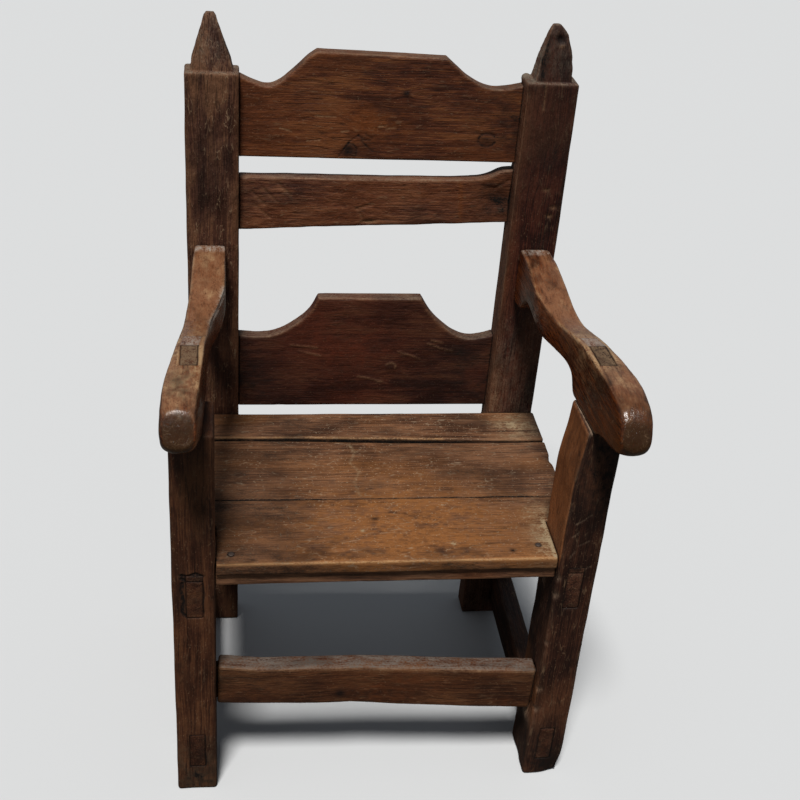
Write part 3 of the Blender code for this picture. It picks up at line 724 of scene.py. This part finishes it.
def make_posts():
    """Back posts: the left one whole, the right one redder, with a split and blunted finial."""
    left = Timber("back_post_left", "Z", 10)
    left.wear(deep=0.5, rub=0.4)
    left.hew(0.6 * MM)
    weathered_finial(left, 0.13)
    left.groove(on_post((-0.209, 0.44), (-0.209, 0.99)), 6 * MM, 0.6 * MM, "warm", 0.45)
    left.keep("post_left")

    right = Timber("back_post_right", "Z", 11)
    right.wear(deep=0.5, rub=0.3)
    right.hew(0.6 * MM)
    weathered_finial(right, 0.16)
    right.groove(on_post((0.209, 0.44), (0.210, 0.98)), 9 * MM, 2.5 * MM, "warm", 0.5)
    # Painted light: the side turned to the left is made warmer and paler, as if lit from the left
    right.marks["warm"] += 0.8 * right.facing(LEFT)
    right.marks["dust"] += 0.12 * np.maximum(right.facing(LEFT), right.beyond("Z", 0.66, 0.56))
    right.marks["grime_and_shade"] += 0.35 * right.facing(FRONT) * right.beyond("Z", 0.70, 0.90)
    right.groove(on_post((0.233, 1.0), (0.233, 0.961)), 1.3 * MM, 0.6 * MM, "bare", 0.7)
    right.dent((0.210, 0.256, 1.0), (0.007, 0.006, 0.009), -4 * MM, "dust", 0.4)
    right.ease(10, right.beyond("Z", 1.045, 1.065))
    right.groove(FINIAL_SPLIT, 3 * MM, 1 * MM, "grime_and_shade", 0.4)
    right.stain("dust", (0.216, 0.240, 1.035), (0.009, 0.03, 0.03), 1.1)
    right.stain("grime_and_shade", (0.213, 0.235, 1.0), (0.010, 0.02, 0.008), 0.25)
    right.dent((0.249, 0.236, 1.060), (0.005, 0.014, 0.006), 5 * MM, "grime_and_shade", 0.9)
    right.dent((0.252, 0.236, 1.051), (0.004, 0.014, 0.003), -1 * MM, "bare", 0.9)
    right.stain("bare", *on_post((0.214, 0.47)), (0.012, 0.03, 0.06), 0.35)
    for x, z in ((0.254, 0.837), (0.264, 0.795), (0.269, 0.809)):
        right.dent(*on_post((x, z)), (0.005, 0.01, 0.003), 1.2 * MM, "bare", 0.5)
    right.keep("post_right")


def worn_tenon(leg):
    """The end of the leg's tenon, dressed level with the arm: greyish end grain."""
    leg.marks["dust"] += 0.7 * leg.facing(UP) * leg.beyond("Z", 0.68, 0.70)


WEDGE_CRACKS = (
    on_leg((-0.287, 0.424), (-0.279, 0.421), (-0.268, 0.426), (-0.259, 0.422)),
    on_leg((-0.287, 0.418), (-0.276, 0.412), (-0.262, 0.415)),
    on_leg((-0.286, 0.410), (-0.288, 0.395), (-0.285, 0.377), (-0.287, 0.358), (-0.283, 0.351)),
    on_leg((-0.260, 0.409), (-0.258, 0.390), (-0.261, 0.372), (-0.259, 0.356)),
)


def make_left_leg():
    """Left front leg: cracked round the wedge and dirty at the foot."""
    leg = Timber("front_leg_left", "Z", 20, LEG_SKIN)
    leg.wear(most=1.0, deep=0.6, rub=0.12)
    leg.hew(0.6 * MM)
    worn_tenon(leg)
    for crack in WEDGE_CRACKS:
        leg.groove(crack, 2.0 * MM, 2.2 * MM, "grime_and_shade", 2.2)
    leg.groove(on_leg((-LEG_INNER, 0.38), (-LEG_INNER, 0.06)), 5 * MM, 1.5 * MM, "warm", 0.25)
    # Darker high on the front, under the arm
    leg.stain("grime_and_shade", *on_leg((-0.27, 0.60)), (0.05, 0.06, 0.08), 0.2)
    leg.stain("grime_and_shade", *on_leg((-0.27, 0.02)), (0.05, 0.10, 0.06), 0.55)
    leg.stain("dust", *on_leg((-0.27, 0.03)), (0.05, 0.05, 0.06), 0.3)
    leg.keep("leg_left")


# Chips off the right leg's inner arris: height, and size and depth in mm
LEG_CHIPS = ((0.402, 6, 1.5), (0.371, 7, 1.8), (0.278, 5, 1.2), (0.185, 7, 1.5), (0.143, 8, 2.0))
LEG_SCRATCHES = (
    on_leg((0.262, 0.409), (0.276, 0.414)),
    on_leg((0.280, 0.420), (0.290, 0.425)),
    on_leg((0.262, 0.350), (0.280, 0.349)),
    on_leg((0.262, 0.087), (0.276, 0.098)),
    on_leg((0.266, 0.102), (0.278, 0.091)),
    on_leg((0.256, 0.500), (0.268, 0.508)),
    on_leg((0.270, 0.511), (0.276, 0.516)),
    on_leg((0.254, 0.478), (0.262, 0.485)),
    on_leg((0.266, 0.462), (0.281, 0.471)),
    on_leg((0.256, 0.440), (0.262, 0.452)),
)


# The pale arris at the top of the right leg's inner face, under the arm
BED_EDGE = ((0.2475, -0.078, 0.652), (0.2505, LEG_FRONT, 0.652))


def make_right_leg():
    """Right front leg: its inner face leans out at the top, with chips and bumps down the arris."""
    leg = Timber("front_leg_right", "Z", 21, LEG_SKIN)
    leg.wear(most=1.0, deep=0.8, rub=0.15)
    leg.hew(0.9 * MM, 0.06, 0.03)
    worn_tenon(leg)
    lean = LEG_LEAN * leg.beyond("Z", 0.55, 0.655) * leg.beyond("X", 0.262, 0.242)
    leg.at[:, 0] += lean * leg.beyond("Z", 0.660, 0.655)
    for z, size, depth in LEG_CHIPS:
        reach = (size * MM, size * MM, 0.8 * size * MM)
        leg.dent((LEG_INNER, CHIP_FRONT, z), reach, depth * MM, "bare", 0.25)
    for scratch in LEG_SCRATCHES:
        leg.groove(scratch, 1.3 * MM, 0.5 * MM, "bare", 0.2)
    leg.dent((0.242, -0.116, 0.360), (0.008, 0.008, 0.008), -4 * MM, "bare", 0.5)
    leg.dent((0.242, -0.137, 0.109), (0.016, 0.016, 0.018), -5 * MM, "bare", 0.5)
    leg.dent((0.3005, LEG_FRONT, 0.0), (0.02, 0.02, 0.03), 8 * MM, "grime_and_shade", 0.4)
    leg.marks["bare"] += 2.5 * leg.along_line(BED_EDGE, 2.6 * MM)
    leg.marks["warm"] *= 1 - 0.8 * leg.facing(FRONT)
    # Painted light: the inner face, turned to the left, is made warmer and paler, more so lower down, as
    # if lit from the left
    inner = leg.facing(LEFT) * leg.beyond("Z", 0.42, 0.46)
    streaks = leg.noise(0.06, 0.015, 26) + 0.5 * leg.noise(0.02, 0.004, 27)
    leg.marks["warm"] += inner * (0.75 + 0.35 * leg.beyond("Z", 0.60, 0.50) + 0.4 * streaks)
    # Darker high on the front, under the arm
    leg.stain("grime_and_shade", *on_leg((0.28, 0.60)), (0.04, 0.04, 0.12), 0.5)
    leg.stain("grime_and_shade", *on_leg((0.27, 0.03)), (0.06, 0.06, 0.07), 0.45)
    leg.keep("leg_right")


# The left arm's inner arris where the arm narrows: a painted sheen of light glancing along the flank, laid
# on as pale dust
ARRIS_SHEEN = (
    (-0.2270, 0.105, 0.722),
    (-0.2340, 0.070, 0.713),
    (-0.2420, 0.040, 0.710),
    (-0.2454, 0.018, 0.711),
)


def tenon_side(out, x):
    """Places down one side of the patch and the tenon, from the back, on the arm's sloping top."""
    lead = TENON_SKEW * (PATCH_BACK - TENON_BACK)
    across = (out * (x - lead), out * x, out * x)
    return list(zip(across, (PATCH_BACK, TENON_BACK, TENON_FRONT), TENON_HEIGHTS))


def tenon_patch(arm, out, top):
    """Behind the leg's tenon, the filled back of its mortise: greyish, with pale lines down both."""
    skewed = out * arm.start[:, 0] + TENON_SKEW * (arm.start[:, 1] - TENON_BACK)
    inside = rise(skewed, TENON_NEAR - MM, TENON_NEAR + MM)
    inside *= 1 - rise(skewed, TENON_FAR - MM, TENON_FAR + MM)
    patch = top * inside * arm.beyond("Y", TENON_BACK - MM, TENON_BACK + MM)
    patch *= arm.beyond("Y", PATCH_BACK + MM, PATCH_BACK - MM)
    arm.marks["bare"] *= 1 - patch
    arm.marks["dust"] += 0.4 * patch
    back = [tenon_side(out, x)[0] for x in (TENON_NEAR, TENON_FAR)]
    arm.groove(back, 1.4 * MM, 0.4 * MM, "grime_and_shade", 0.6)
    for x, edge in ((TENON_NEAR, -1), (TENON_FAR, 1)):
        arm.groove(tenon_side(out, x)[:2], 1.2 * MM, 0.4 * MM, "grime_and_shade", 0.6)
        pale = tenon_side(out, x + edge * PALE_LINE_OFF)
        arm.groove(pale, 1.3 * MM, 0.3 * MM, "bare", 0.5)


def make_arm(side, number):
    """An arm: dark on its sides, rubbed bare on top, its nose worn down."""
    out = SIDES[side]
    arm = Timber("arm_" + side, "Y", 30 + number, FINE_SKIN)
    nose = arm.beyond("Y", -0.15, -0.21)
    if side == "left":
        arm.at[:, 1] += NOSE_BACK * arm.beyond("Y", -0.17, -0.24)
        arm.at[:, 2] += NOSE_LIFT * arm.beyond("Y", -0.20, -0.23) * arm.beyond("Z", 0.710, 0.675)
    arm.cut(NOSE_TURN, NOSE_SLOPE, NOSE_WORN[side])
    arm.ease(10, 0.1)
    arm.ease(60, arm.beyond("Y", -0.19, -0.23))
    arm.flat = arm.out
    arm.wear(least=0.0, most=0.3, deep=0.2, chips=0.4, rub=0.3)
    arm.hew(0.6 * MM, 0.06, 0.03)
    arm.hew(0.15 * MM, 0.014, 0.007, 23)
    top = arm.facing(UP, 0.45, 0.72)
    blotches = arm.noise(0.05, 0.025, 13) + 0.7 * arm.noise(0.016, 0.009, 16)
    blotches += 0.5 * arm.noise(0.007, 0.005, 24)
    arm.marks["warm"] += top * (0.65 + 0.3 * blotches + 0.35 * arm.noise(0.05, 0.0035, 28))
    arm.marks["grime_and_shade"] += 0.35 * top * rise(-blotches, 0.1, 1.1)
    arm.marks["bare"] += 0.3 * top * rise(blotches, 0.2, 1.2)
    patchy = 0.4 + 0.6 * arm.noise(0.03, 0.01, 14)
    arm.marks["bare"] += 0.3 * rise(arm.arris, 0.1, 0.4) * (1 - nose) * patchy
    specks = 0.3 + 0.3 * arm.noise(0.006, 0.006, 21)
    arm.marks["dust"] += top * arm.beyond("Y", 0.190, 0.203) * specks
    arm.push(0.4 * MM * arm.noise(0.014, 0.014, 15) * nose)
    arm.stain("bare", (out * 0.272, -0.09, 0.74), (0.03, 0.07, 0.05), 0.4)
    tenon_patch(arm, out, top)
    if side == "left":
        arm.stain("bare", (-0.280, -0.19, 0.74), (0.022, 0.04, 0.03), 0.4)
        arm.stain("warm", (-0.280, -0.19, 0.74), (0.022, 0.05, 0.03), 0.4)
        # The nose's front face is darkened: end grain, and partly painted shade where it turns away from
        # the light
        arm.marks["end"] += 0.9 * nose * arm.facing(FRONT, 0.65, 0.85)
        # Painted sheen along the inner arris
        arm.groove(ARRIS_SHEEN, 4.5 * MM, 1.2 * MM, "dust", 1.3)
    else:
        # The nose's front face is darkened: end grain, and partly painted shade where it turns away from
        # the light
        arm.marks["end"] += 0.7 * nose * arm.facing(FRONT, 0.70, 0.88)
        arm.marks["end"] += 0.4 * arm.beyond("Y", -0.18, -0.24)
        # Painted sheen: a pale grey patch on the inner flank near the back
        arm.stain("dust", (0.229, 0.13, 0.69), (0.010, 0.045, 0.018), 0.45)
    arm.keep("arm")


def make_side_rails(side, number):
    """The seat rail and the low stretcher on one side."""
    for name in ("seat_rail_", "side_stretcher_"):
        rail = Timber(name + side, "Y", 40 + number, COARSE_SKIN)
        rail.wear(rub=0.1)
        rail.marks["warm"] *= 0.2
        rail.hew(0.4 * MM)
        rail.keep("leg_" + side)


def make_fixings(side, number):
    """The wedge over the seat rail's tenon and the nail in the front board, on one side."""
    wedge = Timber("tenon_wedge_" + side, "Y", 50 + number, WEDGE_SKIN)
    wedge.wear()
    wedge.keep("wedge")
    nail = Timber("seat_nail_" + side, "Z", 60 + number, NAIL_SKIN)
    nail.keep("iron")


# Seat gap: how far the edges on either side of the open gap wander from straight, as (x, shift back)
GAP_EDGES = {
    "rear": (0.145, ((-0.22, 0.0055), (-0.11, 0.0045), (0.05, -0.0005), (0.213, -0.0055))),
    "middle": (0.136, ((-0.22, 0.0060), (-0.11, 0.0035), (0.05, -0.0045), (0.213, -0.0040))),
}


def wander(board, name):
    """The shift of a seat board's edge along the gap, fading into the board."""
    if name not in GAP_EDGES:
        return 0.0
    edge, line = GAP_EDGES[name]
    fade = 1 - rise(np.abs(board.start[:, 1] - edge), 0.0, 0.05)
    return fade * np.interp(board.start[:, 0], *zip(*line))


# A pale, crooked run across the middle board
SEAT_SQUIGGLE = (
    (-0.034, 0.130),
    (-0.026, 0.105),
    (-0.036, 0.080),
    (-0.024, 0.052),
    (-0.034, 0.025),
    (-0.028, -0.010),
)


def make_seat():
    """The three seat boards: warm in the middle, dark and dusty towards the ends."""
    for number, name in enumerate(("rear", "middle", "front")):
        board = Timber("seat_board_" + name, "X", 70 + number)
        board.wear(most=0.9, deep=0.4, rub=0.2)
        board.hew(0.35 * MM, 0.12, 0.04)
        board.at[:, 1] += wander(board, name)
        board.stain("warm", *on_seat((0.03, -0.10)), (0.17, 0.15, 0.1), 0.8)
        # Darker towards the left end, most on the front board
        dark = 0.38 if name == "front" else 0.25
        uneven = 1 + 0.5 * board.noise(0.05, 0.02, 22)
        board.marks["grime_and_shade"] += dark * board.beyond("X", -0.06, -0.15) * uneven
        board.stain("grime_and_shade", *on_seat((0.17, 0.06)), (0.09, 0.06, 0.1), 0.2)
        board.stain("grime_and_shade", *on_seat((0.18, -0.08)), (0.05, 0.06, 0.1), 0.15)
        board.stain("dust", *on_seat((0.25, 0.182)), (0.035, 0.03, 0.05), 0.5)
        board.stain("dust", *on_seat((0.235, -0.10)), (0.025, 0.06, 0.05), 0.35)
        # Painted shade in the gaps between the boards: the faces inside them are darkened below the top
        below = board.beyond("Z", SEAT_TOP - 2 * MM, SEAT_TOP - 5 * MM)
        gap_shade = board.facing(BACK) + board.facing(FRONT) * board.beyond("Y", -0.12, -0.10)
        board.marks["grime_and_shade"] += below * gap_shade
        if name == "rear":
            # A pale line along the rear board's front arris, above the gap
            arris = on_seat((-0.24, 0.145), (0.12, 0.145))
            board.marks["bare"] += 0.6 * board.along_line(arris, 2.2 * MM)
        else:
            joint = on_seat((-0.3, BOARD_JOINT), (0.3, BOARD_JOINT))
            board.groove(joint, 1.6 * MM, 0.6 * MM, "grime_and_shade", 0.7)
        if name == "front":
            edge = [(-0.24, FRONT_EDGE, SEAT_TOP), (0.24, FRONT_EDGE, SEAT_TOP)]
            # The front arris: worn round, and painted as a bright highlight line
            board.groove(edge, 5 * MM, 1.2 * MM, "warm", 0.9)
            board.marks["bare"] += 1.6 * board.along_line(edge, 2.4 * MM)
            # The front face is darker below the top
            board.marks["grime_and_shade"] += 0.25 * below * board.facing(FRONT)
            board.dent(*on_seat((0.096, -0.126)), (0.004, 0.004, 0.01), 0.0, "dust", 1.0)
            board.dent(*on_seat((-0.032, -0.093)), (0.003, 0.003, 0.01), 0.0, "dust", 0.9)
            board.dent(*on_seat((0.178, -0.143)), (0.005, 0.005, 0.01), 1.5 * MM, "grime_and_shade", 0.8)
            board.knot(*on_seat((-0.012, -0.066)), (0.006, 0.004, 0.02))
            pale = board.along_line(on_seat((0.2365, -0.078), (0.2375, -0.16)), 3.2 * MM)
            board.marks["grime_and_shade"] *= 1 - pale
            board.marks["dust"] += pale
        if name == "middle":
            board.dent((0.286, 0.082, SEAT_TOP), (0.008, 0.010, 0.03), 4 * MM, "grime_and_shade", 0.3)
            board.groove(on_seat(*SEAT_SQUIGGLE), 2.4 * MM, 0.0, "dust", 0.22)
        board.keep("seat")


def make_front_rail():
    """The pale strip under the front board."""
    rail = Timber("seat_rail_front", "X", 80)
    rail.wear()
    rail.hew(0.5 * MM)
    rail.keep("rail")


# Stretcher: how far its worn top and bottom edges wander from straight, as (x, rise)
STRETCHER_TOP = (
    (-0.23, -0.0007),
    (-0.177, -0.0054),
    (-0.12, -0.003),
    (-0.04, 0),
    (0.03, -0.0012),
    (0.225, -0.0055),
)
STRETCHER_FOOT = (
    (-0.23, 0.0015),
    (-0.116, 0),
    (-0.041, 0.005),
    (0.036, -0.001),
    (0.114, -0.005),
    (0.225, -0.008),
)


def make_stretcher():
    """The front stretcher: wandering edges, its top rubbed by feet."""
    stretcher = Timber("front_stretcher", "X", 81)
    top = stretcher.beyond("Z", 0.17, 0.215)
    x = stretcher.start[:, 0]
    upper = np.interp(x, *zip(*STRETCHER_TOP))
    lower = np.interp(x, *zip(*STRETCHER_FOOT))
    stretcher.at[:, 2] += top * upper + (1 - top) * lower
    stretcher.turn()
    stretcher.wear(most=1.0, deep=0.7, rub=0.25)
    stretcher.hew(0.7 * MM)
    stretcher.marks["dust"] += 0.5 * stretcher.facing(UP)
    rubbed = 0.5 * stretcher.arris * stretcher.beyond("Z", 0.20, 0.21)
    stretcher.marks["bare"] += rubbed * stretcher.beyond("Y", -0.13, -0.14)
    stretcher.knot((-0.057, STRETCHER_FRONT, 0.170), (0.009, 0.03, 0.009), 0.5 * MM)
    stretcher.stain("warm", (0.20, STRETCHER_FRONT, 0.150), (0.02, 0.03, 0.012), 0.5)
    stretcher.stain("warm", (0.02, STRETCHER_FRONT, 0.185), (0.09, 0.03, 0.04), 0.7)
    stretcher.stain("grime_and_shade", (-0.19, STRETCHER_FRONT, 0.17), (0.07, 0.03, 0.05), 0.25)
    stretcher.keep("stretcher")


make_crest()
make_middle_rail()
make_panel()
make_back_rail()
make_posts()
make_left_leg()
make_right_leg()
for number, side in enumerate(SIDES):
    make_arm(side, number)
    make_side_rails(side, number)
    make_fixings(side, number)
make_seat()
make_front_rail()
make_stretcher()

# Floor: a plain sheet. It is pale to the camera, and throws back the light of a mid-grey floor
FLOOR_SIZE = 16
FLOOR_SEEN = "dadde0"
FLOOR_THROWS = "57544f"
FLOOR_ROUGH = 0.9
FLOOR_SHINE = 0.2
bpy.ops.mesh.primitive_plane_add(size=FLOOR_SIZE)
floor = bpy.context.object
floor.name = "floor"
paint = bpy.data.materials.new("pale_floor")
paint.use_nodes = True
tree = paint.node_tree
seen = add(tree, "LightPath").outputs["Is Camera Ray"]
tint = add(tree, "Mix", {0: seen, 6: linear(FLOOR_THROWS), 7: linear(FLOOR_SEEN)}, data_type="RGBA")
sheet = tree.nodes["Principled BSDF"].inputs
tree.links.new(tint.outputs[2], sheet["Base Color"])
sheet["Roughness"].default_value = FLOOR_ROUGH
sheet["Specular IOR Level"].default_value = FLOOR_SHINE
floor.data.materials.append(paint)

# Light: one broad, soft source high in front and a little to the left, and a dim cool fill from all round
KEY_HEIGHT = radians(65)
KEY_LEFT = radians(17)
KEY_SPREAD = radians(12)
KEY_STRENGTH = 3.2
KEY_COLOUR = (1.0, 0.97, 0.93)
KEY_AWAY = 3
# Fill: how strong it is on the chair, in the chair's shine and behind the chair in the picture
FILL_COLOUR = "dfe6ee"
FILL_ROUND = 0.15
FILL_IN_SHINE = 0.28
FILL_SEEN = 0.9

key = bpy.data.objects.new("overhead_light", bpy.data.lights.new("overhead_light", "SUN"))
key.data.angle = KEY_SPREAD
key.data.energy = KEY_STRENGTH
key.data.color = KEY_COLOUR
level = cos(KEY_HEIGHT)
direction = Vector((-sin(KEY_LEFT) * level, -cos(KEY_LEFT) * level, sin(KEY_HEIGHT)))
key.location = KEY_AWAY * direction
key.rotation_euler = (-direction).to_track_quat("-Z", "Y").to_euler()
bpy.context.scene.collection.objects.link(key)

world = bpy.data.worlds.new("cool_fill")
world.use_nodes = True
bpy.context.scene.world = world
fill = world.node_tree.nodes["Background"]
fill.inputs["Color"].default_value = linear(FILL_COLOUR)
tree = world.node_tree
rays = add(tree, "LightPath").outputs
inputs = {"Value": rays["Is Glossy Ray"], "To Min": FILL_ROUND, "To Max": FILL_IN_SHINE}
shiny = add(tree, "MapRange", inputs).outputs[0]
inputs = {"Value": rays["Is Camera Ray"], "To Min": shiny, "To Max": FILL_SEEN}
strength = add(tree, "MapRange", inputs).outputs[0]
tree.links.new(strength, fill.inputs["Strength"])

camera = bpy.data.objects.new("camera", bpy.data.cameras.new("camera"))
camera.data.lens = CAMERA_LENS
camera.data.sensor_width = CAMERA_SENSOR
camera.data.shift_x = CAMERA_SHIFT
sideways = Vector((cos(CAMERA_YAW), -sin(CAMERA_YAW), 0.0))
level = cos(CAMERA_PITCH)
ahead = Vector((sin(CAMERA_YAW) * level, cos(CAMERA_YAW) * level, -sin(CAMERA_PITCH)))
upright = sideways.cross(ahead)
right = cos(CAMERA_ROLL) * sideways + sin(CAMERA_ROLL) * upright
up = -sin(CAMERA_ROLL) * sideways + cos(CAMERA_ROLL) * upright
turned = Matrix((right, up, -ahead)).transposed().to_4x4()
camera.matrix_world = Matrix.Translation(CAMERA_PLACE) @ turned
bpy.context.scene.collection.objects.link(camera)
bpy.context.scene.camera = camera
bpy.context.scene.view_settings.view_transform = "Standard"
